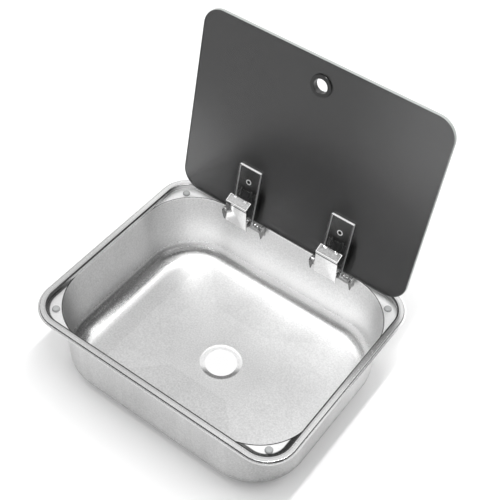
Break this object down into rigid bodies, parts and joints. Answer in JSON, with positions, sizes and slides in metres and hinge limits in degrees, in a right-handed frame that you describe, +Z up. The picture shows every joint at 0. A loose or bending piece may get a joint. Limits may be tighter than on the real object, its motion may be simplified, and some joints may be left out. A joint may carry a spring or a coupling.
{
  "type": "drop-in sink with hinged glass lid",
  "caption": "Rectangular stainless drop-in sink for a camper, with a raised rim, corner shelves with bumpers and a smoked glass lid on spring hinges with chrome covers, shown open.",
  "frame": {"origin": "centre of the waste hole, on the recessed seat that takes the waste's flange", "axes": "+Z up along the waste hole, +X to the right along the hinge edge, +Y from the front towards the hinges"},
  "size_m": [0.425, 0.3827, 0.44],
  "materials": {
    "satin_steel": "satin",
    "chrome_plate": "polished",
    "bright_steel": "bright",
    "spring_wire": "drawn",
    "smoked_glass": "smoked",
    "black_plastic": "gloss",
    "black_rubber": "matte",
    "clear_grey_rubber": "satin"
  },
  "bodies": {
    "sink": {"bowl": "satin_steel", "front_left_bumper": "clear_grey_rubber", "front_right_bumper": "clear_grey_rubber", "back_left_bumper": "clear_grey_rubber", "back_right_bumper": "clear_grey_rubber", "left_hinge_base": "satin_steel", "left_hinge_pin": "bright_steel", "left_hinge_rivets": "bright_steel", "left_hinge_spring_left": "spring_wire", "left_hinge_spring_right": "spring_wire", "right_hinge_base": "satin_steel", "right_hinge_pin": "bright_steel", "right_hinge_rivets": "bright_steel", "right_hinge_spring_left": "spring_wire", "right_hinge_spring_right": "spring_wire"},
    "lid": {"lid_glass": "smoked_glass", "finger_ring_inner": "black_plastic", "finger_ring_outer": "black_plastic", "left_hinge_pad": "black_rubber", "left_hinge_plate": "chrome_plate", "left_hinge_cover": "chrome_plate", "left_hinge_screw": "bright_steel", "left_hinge_cap": "black_plastic", "right_hinge_pad": "black_rubber", "right_hinge_plate": "chrome_plate", "right_hinge_cover": "chrome_plate", "right_hinge_screw": "bright_steel", "right_hinge_cap": "black_plastic"}
  },
  "joints": [
    {"name": "lid_hinge", "type": "hinge", "parent": "sink", "child": "lid", "pos_m": [0, 0.1525, 0.1326], "axis": [1, 0, 0], "range_deg": [0, 99.6]}
  ]
}
